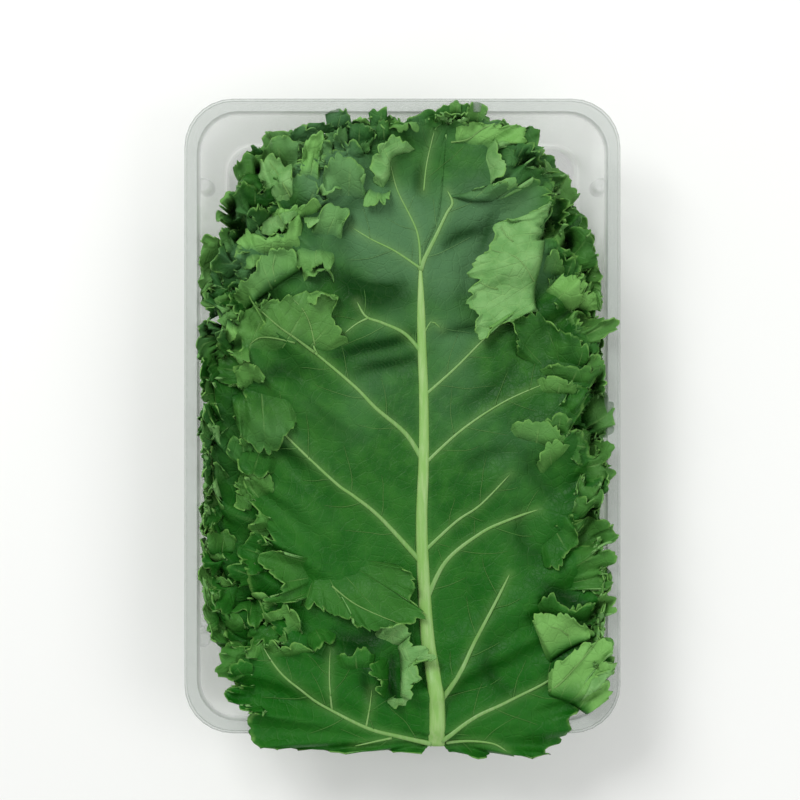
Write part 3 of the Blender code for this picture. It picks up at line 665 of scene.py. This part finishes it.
def add_lobe(bm, ground, above, root, edge, lift, ruffle, tone, look, seed, limit, inside):
    """A lobe: a sheet from its root line to its free edge, toothed, ruffled and partly curled up."""
    draw = random.Random(seed)
    root, edge = np.asarray(root, float), np.asarray(edge, float)
    _, length = even(edge, np.zeros(1))
    ends = even(edge, np.linspace(0, 1, 9))[0] - even(root, np.linspace(0, 1, 9))[0]
    width = float(np.linalg.norm(ends, axis=1).mean())
    columns = int(np.clip(length / 0.00088, 14, 120))
    rows = int(np.clip(width / 0.00125, 8, 28))
    made, u, v = grid(bm, columns, rows)
    share, way = (u + 1) / 2, 1 - (1 - v) ** 1.4
    start, rim = even(root, share)[0], even(edge, share)[0]
    run = unit(even(edge, share + 0.01)[0] - even(edge, share - 0.01)[0])
    far = np.linalg.norm(rim - start, axis=1)
    s = share * length
    sides = ease(s / 0.0045) * ease((length - s) / 0.0045)
    teeth = toothed(s, LOBULE, TOOTH, seed, seed + 1)
    left = (1 - way) * far
    curl = np.clip(wobble(s, 0.013, seed + 2), 0, 1) * sides * ease((0.0030 - left) / 0.0030) * CURL
    outward = teeth * way ** 4 * sides - curl * 0.5
    xy = start + (rim - start) * way[:, None] + unit(rim - start) * outward[:, None]

    free, rise = ease(way * 2.2), lift * ease(way) ** 0.8
    if "fold" in look:
        free = 1.0
        rise = lift * np.sqrt(1 - (1 - np.clip(way * far / (lift * 0.7), 0, 1)) ** 2)
    shown = free * (0.25 + 0.75 * sides)
    z = lobe_ground(ground, xy, start, limit, columns, rows) - SUNK + (SUNK + 0.0009 + rise) * shown

    wave = math.tau * s / (0.0085 * draw.uniform(0.85, 1.3)) + 1.4 * wobble(s, 0.021, seed + 3)
    fine = math.tau * s / 0.0043 + wobble(s, 0.011, seed + 4)
    uneven = 0.65 + 0.5 * np.clip(wobble(s, 0.03, seed + 5), -1, 1)
    tall = 1.2 * ruffle * uneven * (0.4 + 0.6 * sides)
    grow, small = way ** 2.6, way ** 9
    z += tall * (grow * np.sin(wave) + 0.35 * small * np.sin(fine)) + curl
    z += 0.0006 * relief(xy[:, 0], xy[:, 1], 0.016, seed + 6) * way
    shift = tall * sides * (0.55 * grow * np.cos(wave) + 0.15 * small * np.cos(fine))
    xy = xy + run * shift[:, None]
    lowest = soft(np.fmax(top_of(ground, xy), -1), columns + 1, rows + 1, 2)
    z = np.maximum(z, lowest - SUNK + (SUNK + 0.0008) * np.clip(shown * 2, 0, 1))
    z = under_all(xy, z, above)
    xy[:, 0] = np.clip(xy[:, 0], -SIDE, SIDE)
    if inside:
        spare = draw.uniform(0.0004, 0.0040) + 0.0014 * (0.4 - scallops(s, 0.0058, seed))
        xy = kept_in(xy, z, spare, 0.96)
    write(
        bm, made, np.column_stack((xy, z)), lobe=0.5 + (share - 0.5) * length / 0.020, reach=way,
        edge=ease(1 - left / 0.0009) * sides, tone=(tone + 0.08) * ease(way * 2),
        under=1.0 if "under" in look else 0.0,
    )
    face_up(bm, made)


def frill_outline(draw, base, way, size):
    """The root line and the free edge of a small fan-shaped lobe that grows from a point."""
    turn = draw.uniform(-0.9, 0.9)
    cos, sin = math.cos(turn), math.sin(turn)
    ahead = np.array((way[0] * cos - way[1] * sin, way[0] * sin + way[1] * cos))
    across = np.array((-ahead[1], ahead[0]))
    length = size * draw.uniform(0.7, 1.35)
    half = length * draw.uniform(0.40, 0.75)
    fan = ((-0.6, 0.0), (-1.0, 0.45), (-0.6, 0.85), (0.0, 1.0), (0.6, 0.85), (1.0, 0.45), (0.6, 0.0))
    rim = []
    for a, b in fan:
        beside = across * half * a * draw.uniform(0.85, 1.15)
        rim.append(base + beside + ahead * length * b * draw.uniform(0.85, 1.15))
    return [base + across * half * k for k in (-0.6, 0.6)], rim


def add_frills(bm, plan, ground, above, spacing, size, tone, first, seed):
    """Small lobes all along a leaf's edge, each a fan from a short root."""
    draw = random.Random(seed)
    for side in (-1, 1):
        steps, arc = plan.arc(side)
        s = arc[-1] * first
        while s < arc[-1] * 0.995:
            t = float(np.interp(s, arc, steps))
            s += spacing * draw.uniform(0.6, 1.4)
            edge = plan.edge(side, np.array([t]))[0]
            centre = plan.centre(plan.foot(np.array([t])))[0]
            way = (edge - centre) / np.linalg.norm(edge - centre)
            base = edge - way * draw.uniform(0.003, 0.010)
            if plan.boxed:
                base = kept_in(base[None], np.array([plan.level]), 0.005)[0]
            root, rim = frill_outline(draw, base, way, size)
            inside = plan.boxed or abs(base[1]) < INSIDE_Y
            lift, ruffle = draw.uniform(0.0, 0.0045), draw.uniform(0.0014, 0.0029)
            shade = tone + draw.uniform(-0.15, 0.25)
            add_lobe(
                bm, ground, above, root, rim, lift, ruffle, shade, (), draw.randrange(10000),
                plan.level, inside,
            )


def rib_path(points):
    """Evenly stepped plan points, in metres, on a smooth curve through points in millimetres."""
    points = pairs(points) * MM
    _, length = even(points, np.zeros(1))
    return even(points, np.linspace(0, 1, max(6, int(length / 0.0014))))[0]


def side_veins(paths, ribs):
    """Fine veins that leave the ribs on both sides in turn and stop short of the next one."""
    draw = random.Random(7)
    made = []
    for path, first, _ in paths[1:]:
        count = int(np.linalg.norm(np.diff(path, axis=0), axis=1).sum() / 0.0095)
        for k in range(count):
            i = int((k + draw.uniform(0.3, 0.8)) / (count + 0.3) * (len(path) - 2)) + 1
            run = path[min(i + 1, len(path) - 1)] - path[i - 1]
            angle = math.atan2(run[1], run[0]) + (1 if k % 2 else -1) * math.radians(draw.uniform(42, 58))
            bend = -0.25 * math.copysign(1, angle - math.atan2(run[1], run[0]))
            reach = draw.uniform(0.014, 0.028) * (1 - 0.4 * i / len(path))
            points = [path[i] / MM]
            for step in range(4):
                heading = angle + bend * step / 3 + draw.uniform(-0.12, 0.12)
                points.append(points[-1] + np.array((math.cos(heading), math.sin(heading))) * reach / 4 / MM)
            vein = rib_path(points)
            gaps = np.array([ribs.find((a, b, 0))[2] for a, b in vein])
            close = np.nonzero((gaps < 0.004) & (np.arange(len(gaps)) > 5))[0]
            if len(close):
                vein = vein[:close[0]]
            if len(vein) > 5:
                made.append((vein, min(0.0006, first * 0.3), 0.0002))
    return made


def add_rib(bm, path, first, last, ground, around, strength):
    """A rib: a tapered round body half sunk in the leaf, flat at its cut start and fine at its end."""
    along = unit(np.gradient(path, axis=0))
    side = np.column_stack((along[:, 1], -along[:, 0]))
    share = np.linspace(0, 1, len(path))
    halves = (first + (last - first) * share ** 0.6) / 2 * np.sqrt(np.clip((1 - share) * 9 + 0.02, 0, 1))
    beside = (halves + 0.0006)[:, None]
    z = np.fmax(top_of(ground, path + side * beside), top_of(ground, path - side * beside))
    missed = np.nonzero(np.isnan(z[3:]))[0]
    if len(missed):
        path, side, halves, z = (part[:missed[0] + 2] for part in (path, side, halves, z))
        halves = halves * np.sqrt(np.linspace(1, 0.02, len(path)))
    good = ~np.isnan(z)
    if good.sum() < 4:
        return
    z = np.interp(np.arange(len(z)), np.nonzero(good)[0], z[good])
    for _ in range(3):
        z[1:-1] = (z[:-2] + z[1:-1] * 2 + z[2:]) / 4
    steps = len(path) + 1
    made, u, v = grid(bm, around, steps)
    i = np.clip(np.round(v * steps).astype(int) - 1, 0, len(path) - 1)
    half = np.where((v < 0.5 / steps) | (v > 1 - 0.5 / steps), 0.0, halves[i])
    angle = math.pi * (u + 1)
    xy = path[i] + side[i] * (np.cos(angle) * half)[:, None]
    high = z[i] + 0.0001 + np.sin(angle) * half * 0.5 - half * 0.12
    write(bm, made, np.column_stack((xy, high)), rib=strength)
    bmesh.ops.remove_doubles(bm, verts=made, dist=0.000001)


def thicken(bm):
    """Gives every sheet its other side, so that each becomes a thin closed body."""
    number = bm.verts.layers.int.new("number")
    for i, v in enumerate(bm.verts):
        v[number] = i
    bm.normal_update()
    drop = [v.normal.copy() * BLADE for v in bm.verts]
    under = bm.verts.layers.float["under"]
    grown = bmesh.ops.extrude_face_region(bm, geom=list(bm.faces), use_keep_orig=True)
    for v in grown["geom"]:
        if isinstance(v, bmesh.types.BMVert):
            v.co -= drop[v[number]]
            v[under] = 1 - v[under]
    bmesh.ops.recalc_face_normals(bm, faces=bm.faces)


def piece(name, bm, material, slot, *replaced):
    mesh = bpy.data.meshes.new(name)
    bm.to_mesh(mesh)
    mesh.materials.append(material)
    mesh.shade_smooth()
    obj = bpy.data.objects.new(name, mesh)
    bpy.context.scene.collection.objects.link(obj)
    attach(obj, "root")
    if replaced:
        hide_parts(*replaced)


def tree_of(bm):
    bm.verts.index_update()
    return BVHTree.FromPolygons([v.co for v in bm.verts], [[v.index for v in f.verts] for f in bm.faces])


def new_material(name):
    """A material with its node tree and its main shader."""
    material = bpy.data.materials.new(name)
    material.use_nodes = True
    return material, material.node_tree, material.node_tree.nodes["Principled BSDF"]


def feed(tree, made, inputs):
    """Gives a node's sockets their values or links."""
    for socket, value in inputs.items():
        if isinstance(value, bpy.types.NodeSocket):
            tree.links.new(value, made.inputs[socket])
        else:
            made.inputs[socket].default_value = value


def node(tree, kind, inputs, **settings):
    """A shader node with its settings and its inputs."""
    made = tree.nodes.new("ShaderNode" + kind)
    for name, value in settings.items():
        setattr(made, name, value)
    feed(tree, made, inputs)
    return made


def blend(tree, share, first, second):
    """The first colour going over into the second."""
    inputs = {"Factor": share, "A": first, "B": second}
    return node(tree, "Mix", inputs, data_type="RGBA").outputs["Result"]


def reckon(tree, operation, *values):
    made = node(tree, "Math", dict(enumerate(values)), operation=operation)
    return made.outputs["Value"]


def times(tree, *values):
    return reckon(tree, "MULTIPLY", *values)


def span(tree, value, low, high, first=0.0, second=1.0):
    """A value's range from low to high turned into another range, with soft ends."""
    inputs = {"Value": value, "From Min": low, "From Max": high, "To Min": first, "To Max": second}
    return node(tree, "MapRange", inputs, interpolation_type="SMOOTHSTEP").outputs["Result"]


def clouds(tree, where, scale, detail=2.0, distortion=0.0):
    inputs = {"Vector": where, "Scale": scale, "Detail": detail, "Distortion": distortion}
    return node(tree, "TexNoise", inputs).outputs["Fac"]


def cells(tree, where, scale):
    """The distance to the nearest wall of a net of cells."""
    inputs = {"Vector": where, "Scale": scale}
    return node(tree, "TexVoronoi", inputs, feature="DISTANCE_TO_EDGE").outputs["Distance"]


def upper_green(tree, y, wide, small, tone, bloom):
    """The green of a leaf's upper side, bluish where it blooms and darker or lighter by its tone, which is
    partly the leaf's own green and partly painted light and shade.
    """
    colour = blend(tree, span(tree, wide, 0.35, 0.65), GREEN_DEEP, GREEN_MID)
    colour = blend(tree, times(tree, span(tree, small, 0.4, 0.7), 0.35), colour, GREEN_FRESH)
    colour = blend(tree, span(tree, y, 0.06, -0.12, 0.0, 0.65), colour, GREEN_LOW)
    colour = blend(tree, bloom, colour, BLOOM)
    # Below nought the tone lays painted shade, above it a lighter green that is partly painted light.
    dark = reckon(tree, "MAXIMUM", times(tree, tone, -1.0), 0.0)
    colour = blend(tree, dark, colour, GREEN_PAINTED_SHADE)
    light = reckon(tree, "MINIMUM", times(tree, reckon(tree, "MAXIMUM", tone, 0.0), 1.5), 1.0)
    return blend(tree, light, colour, GREEN_LIGHT)


def tissue_group():
    """Leaf tissue: its green, its roughness and the height of its relief, from what the blade carries."""
    tree = bpy.data.node_groups.new("leaf_tissue", "ShaderNodeTree")
    for name in (*LAYERS, "depth"):
        tree.interface.new_socket(name=name, in_out="INPUT", socket_type="NodeSocketFloat")
    for name, kind in (("Color", "Color"), ("Roughness", "Float"), ("Height", "Float")):
        tree.interface.new_socket(name=name, in_out="OUTPUT", socket_type="NodeSocket" + kind)
    given = tree.nodes.new("NodeGroupInput").outputs
    where = tree.nodes.new("ShaderNodeTexCoord").outputs["Object"]
    y = node(tree, "SeparateXYZ", {"Vector": where}).outputs["Y"]
    wide, small = clouds(tree, where, 34, 3, 0.6), clouds(tree, where, 150, 3)
    tipward = span(tree, y, -0.06, 0.08, 0.0, 0.85)
    bloom = times(tree, span(tree, clouds(tree, where, 19, 2), 0.42, 0.66), tipward)
    upper = upper_green(tree, y, wide, small, given["tone"], bloom)
    under = blend(tree, span(tree, small, 0.35, 0.7), UNDERSIDE, UNDERSIDE_PALE)
    colour = blend(tree, given["under"], upper, under)
    # Painted shade over the leaves that lie lower in the bunch, as much as depth gives.
    colour = blend(tree, given["depth"], colour, GREEN_PAINTED_SHADE)

    bent = node(tree, "VectorMath", {0: where, 1: (1.0, 1.0, 0.35)}, operation="MULTIPLY").outputs["Vector"]
    fine = times(tree, span(tree, cells(tree, bent, 560.0), 0.12, 0.0), 0.5)
    veins = reckon(tree, "ADD", span(tree, cells(tree, bent, 210.0), 0.09, 0.0), fine)
    fan = reckon(tree, "ABSOLUTE", reckon(tree, "SUBTRACT", reckon(tree, "FRACT", given["lobe"]), 0.5))
    wave = times(tree, reckon(tree, "SUBTRACT", small, 0.5), 0.10)
    ray = span(tree, reckon(tree, "ADD", fan, wave), 0.030, 0.008)
    ray = times(tree, ray, span(tree, given["reach"], 0.95, 0.35))
    shown = reckon(tree, "ADD", 0.018, times(tree, given["under"], 0.14))
    colour = blend(tree, times(tree, veins, shown), colour, VEIN)
    colour = blend(tree, times(tree, ray, 0.22), colour, VEIN)
    colour = blend(tree, given["rib"], colour, VEIN)
    patches = span(tree, clouds(tree, where, 230, 1), 0.38, 0.62, 0.15, 0.85)
    # Paler leaf margins, partly their own colour and partly a painted highlight where they curl.
    colour = blend(tree, times(tree, given["edge"], patches), colour, RIM_AND_HIGHLIGHT)

    rough = span(tree, reckon(tree, "ADD", wide, times(tree, bloom, 0.5)), 0.3, 0.9, 0.40, 0.62)
    height = reckon(tree, "SUBTRACT", clouds(tree, where, 260, 3), times(tree, veins, 0.35))
    height = reckon(tree, "SUBTRACT", height, times(tree, ray, 0.8))
    results = tree.nodes.new("NodeGroupOutput").inputs
    for name, value in (("Color", colour), ("Roughness", rough), ("Height", height)):
        tree.links.new(value, results[name])
    return tree


def leaf_material(name, tissue, depth):
    material, tree, shader = new_material(name)
    made = tree.nodes.new("ShaderNodeGroup")
    made.node_tree = tissue
    for layer in LAYERS:
        feed(tree, made, {layer: node(tree, "Attribute", {}, attribute_name=layer).outputs["Fac"]})
    # depth: how much painted shade lies over the leaf
    feed(tree, made, {"depth": depth})
    colour, rough, height = (made.outputs[part] for part in ("Color", "Roughness", "Height"))
    bump = node(tree, "Bump", {"Height": height, "Strength": 0.5, "Distance": 0.0008})
    looks = {"Base Color": colour, "Roughness": rough, "Normal": bump.outputs["Normal"]}
    feed(tree, shader, {**looks, "Specular IOR Level": 0.11})
    return material


def rib_material():
    """Pale green ribs with fine lengthwise streaks."""
    material, tree, shader = new_material("kale_rib")
    where = tree.nodes.new("ShaderNodeTexCoord").outputs["Object"]
    drawn = node(tree, "VectorMath", {0: where, 1: (1.0, 0.12, 1.0)}, operation="MULTIPLY").outputs["Vector"]
    streaks = clouds(tree, drawn, 900, 3)
    patches = clouds(tree, where, 60, 2)
    colour = blend(tree, span(tree, streaks, 0.35, 0.7), RIB_DARK, RIB_PALE)
    colour = blend(tree, times(tree, span(tree, patches, 0.4, 0.7), 0.45), colour, RIB_GREEN)
    strength = node(tree, "Attribute", {}, attribute_name="rib").outputs["Fac"]
    colour = blend(tree, span(tree, strength, 1.0, 0.0), colour, RIB_FAINT)
    bump = node(tree, "Bump", {"Height": streaks, "Strength": 0.3, "Distance": 0.0004})
    feed(tree, shader, {"Base Color": colour, "Normal": bump.outputs["Normal"], "Roughness": 0.45})
    return material


def tray_material():
    """Clear formed plastic: see-through face on, whiter at the edges, with a faint cloudiness and painted
    shade towards its rim.
    """
    material, tree, shader = new_material("clear_tray")
    where = tree.nodes.new("ShaderNodeTexCoord").outputs["Object"]
    haze = clouds(tree, where, 28, 3)
    facing = node(tree, "LayerWeight", {"Blend": 0.35}).outputs["Facing"]
    cover = reckon(tree, "ADD", span(tree, facing, 0.0, 1.0, 0.03, 0.46), times(tree, haze, 0.03))
    z = node(tree, "SeparateXYZ", {"Vector": where}).outputs["Z"]
    # Painted shade: near the rim the plastic is drawn darker and less clear.
    rim = span(tree, z, TRAY_DEPTH * 0.86, TRAY_DEPTH)
    colour = blend(tree, rim, blend(tree, haze, TRAY_CLOUDY, TRAY_CLEAR), TRAY_EDGE_SHADE)
    cover = reckon(tree, "ADD", cover, times(tree, rim, 0.30))
    rough = span(tree, haze, 0.3, 0.7, 0.06, 0.14)
    feed(tree, shader, {"Base Color": colour, "Alpha": cover, "Roughness": rough})
    return material


def add_lugs(material):
    """Round stacking lugs that stand out from the inside of the tray's long walls."""
    bm = bmesh.new()
    for side in (-1, 1):
        for y in LUG_PLACES:
            made = bmesh.ops.create_cone(
                bm, cap_ends=True, cap_tris=False, segments=40, radius1=LUG_RADIUS, radius2=LUG_RADIUS * 0.8,
                depth=LUG_HEIGHT,
            )["verts"]
            edges = {e for v in made for e in v.link_edges if e.verts[0].co.z > 0 and e.verts[1].co.z > 0}
            bmesh.ops.bevel(bm, geom=list(edges), offset=0.0012, segments=4, affect="EDGES", profile=0.5)
            fresh = [v for v in bm.verts if abs(v.co.x) < 0.01]
            place = (side * LUG_X, y, TRAY_DEPTH - 0.004 - LUG_HEIGHT / 2)
            bmesh.ops.translate(bm, vec=place, verts=fresh)
    piece("tray_lugs", bm, material, "clear_tray")


def rib_paths(table):
    return [(rib_path(points), first * MM, last * MM) for points, first, last in table]


def near_ribs(paths):
    """A search tree of the points of all ribs."""
    spots = [spot for path, _, _ in paths for spot in path]
    ribs = KDTree(len(spots))
    for i, (x, y) in enumerate(spots):
        ribs.insert((x, y, 0), i)
    ribs.balance()
    return ribs


def rib_sheet(paths, ground, around, first_rib, other_ribs):
    """Ribs in one mesh, the first of them and the others each with their own strength of colour."""
    bm = new_sheets()
    for i, (path, first, last) in enumerate(paths):
        add_rib(bm, path, first, last, ground, around, other_ribs if i else first_rib)
    bmesh.ops.recalc_face_normals(bm, faces=bm.faces)
    return bm


def face_lobes(ground):
    """The listed lobes of the bunch's face, each lying on those before it."""
    lobes = new_sheets()
    for i, (root, edge, lift, ruffle, tone, *look) in enumerate(LOBES):
        trees = [*ground, tree_of(lobes)] if i else ground
        root, edge = pairs(root) * MM, pairs(edge) * MM
        inside = np.abs(edge[:, 0]).max() < INSIDE_X and np.abs(edge[:, 1]).max() < INSIDE_Y
        add_lobe(
            lobes, trees, [], root, edge, lift * MM, ruffle * MM, tone, look, 40 + 9 * i, TRAY_DEPTH, inside,
        )
    return lobes


def top_leaf(leaf, rib):
    """The top leaf with its ribs, frills and lobes. Returns what lies above the lower leaves."""
    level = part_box("top_leaf")[1].z
    plan = Plan(TOP_MIDRIB, TOP_TIP, TOP_FEET, TOP_LEFT, TOP_RIGHT, TOP_RIB, 18, level, False)
    paths = rib_paths(TOP_RIBS)
    ribs = near_ribs(paths)
    fine_paths = side_veins(paths, ribs)
    blade = new_sheets()
    add_blade(
        blade, plan, "top_leaf", columns=260, rows=60, ruffle=0.0024, tone=0.0, ribs=ribs, folds=TOP_FOLDS,
        above=[],
    )
    ground = [tree_of(blade), *(node_tree(name) for name, *_ in LOW_LEAVES)]
    drawn = [(path, first * (0.9 if i else 1.0), last) for i, (path, first, last) in enumerate(paths)]
    piece("top_leaf_ribs", rib_sheet(drawn, ground[:1], 10, 1.0, 0.55), rib, "kale_leaf")
    piece("top_leaf_fine_ribs", rib_sheet(fine_paths, ground[:1], 6, 0.2, 0.2), leaf, "kale_leaf")

    lobes = face_lobes(ground)
    over = rib_sheet(rib_paths(LOBE_RIBS), [*ground, tree_of(lobes)], 8, 0.6, 0.6)
    piece("top_leaf_lobe_ribs", over, leaf, "kale_leaf")
    frills = new_sheets()
    add_frills(
        frills, plan, ground, [tree_of(lobes)], spacing=0.0100, size=0.0115, tone=0.0, first=0.2, seed=5,
    )
    above = []
    for bm, name, replaced in ((blade, "blade", ["top_leaf"]), (frills, "frills", []), (lobes, "lobes", [])):
        thicken(bm)
        above.append(tree_of(bm))
        piece("top_leaf_" + name, bm, leaf, "kale_leaf", *replaced)
    return above


def low_leaves(leaf, above):
    """The lower leaves from the top one down, frilled where they show."""
    for i, (name, base, turn, length, width, seed) in reversed(list(enumerate(LOW_LEAVES))):
        plan = low_plan(base, turn, length, width, seed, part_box(name)[1].z)
        low = new_sheets()
        # Painted shade: the lower leaves' blades are drawn darker than the top leaf.
        add_blade(
            low, plan, name, columns=180, rows=16, ruffle=0.0036, tone=-0.15, ribs=None, folds=(),
            above=above,
        )
        if i > 1:
            add_frills(
                low, plan, [tree_of(low)], above, spacing=0.0092, size=0.0135, tone=0.04, first=0.12,
                seed=seed,
            )
        thicken(low)
        above.append(tree_of(low))
        piece(name + "_blade", low, leaf, "kale_leaf", name)


def add_floor():
    bpy.ops.mesh.primitive_plane_add(size=4)
    floor = bpy.context.object
    floor.name = "floor"
    paint, tree, shader = new_material("floor")
    feed(tree, shader, {"Base Color": (0.85, 0.86, 0.84, 1)})
    floor.data.materials.append(paint)


def add_lights():
    """A pale surround and two soft lights, the stronger one from the upper left."""
    world = bpy.data.worlds.new("studio")
    bpy.context.scene.world = world
    world.use_nodes = True
    world.node_tree.nodes["Background"].inputs["Color"].default_value = (1, 1, 1, 1)
    world.node_tree.nodes["Background"].inputs["Strength"].default_value = 0.55
    for place, size, power in (((-0.7, 0.9, 1.3), 0.7, 18), ((0.9, -0.2, 1.2), 0.8, 6)):
        light = bpy.data.lights.new("soft_light", "AREA")
        light.size = size
        light.energy = power
        lamp = bpy.data.objects.new("soft_light", light)
        lamp.location = place
        lamp.rotation_euler = (-Vector(place)).to_track_quat("-Z", "Y").to_euler()
        bpy.context.scene.collection.objects.link(lamp)


def add_camera():
    """A camera that looks straight down and frames 328 mm at the height of the leaves."""
    camera = bpy.data.cameras.new("camera")
    camera.lens = 85
    camera.sensor_width = 36
    eye = bpy.data.objects.new("camera", camera)
    eye.location = (-0.001, 0.0066, 0.05 + 0.328 * camera.lens / camera.sensor_width)
    bpy.context.scene.collection.objects.link(eye)
    bpy.context.scene.camera = eye
    bpy.context.scene.view_settings.view_transform = "Standard"


def main():
    tissue = tissue_group()
    leaf = leaf_material("kale_leaf", tissue, 0.0)
    # The lower leaves: the same tissue with painted shade over it.
    shaded_low_leaf = leaf_material("kale_low_leaf_painted_shade", tissue, 0.06)
    rib = rib_material()
    clear = tray_material()
    add_lugs(clear)
    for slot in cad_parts["tray"].material_slots:
        slot.material = clear
    low_leaves(shaded_low_leaf, top_leaf(leaf, rib))
    add_floor()
    add_lights()
    add_camera()


main()
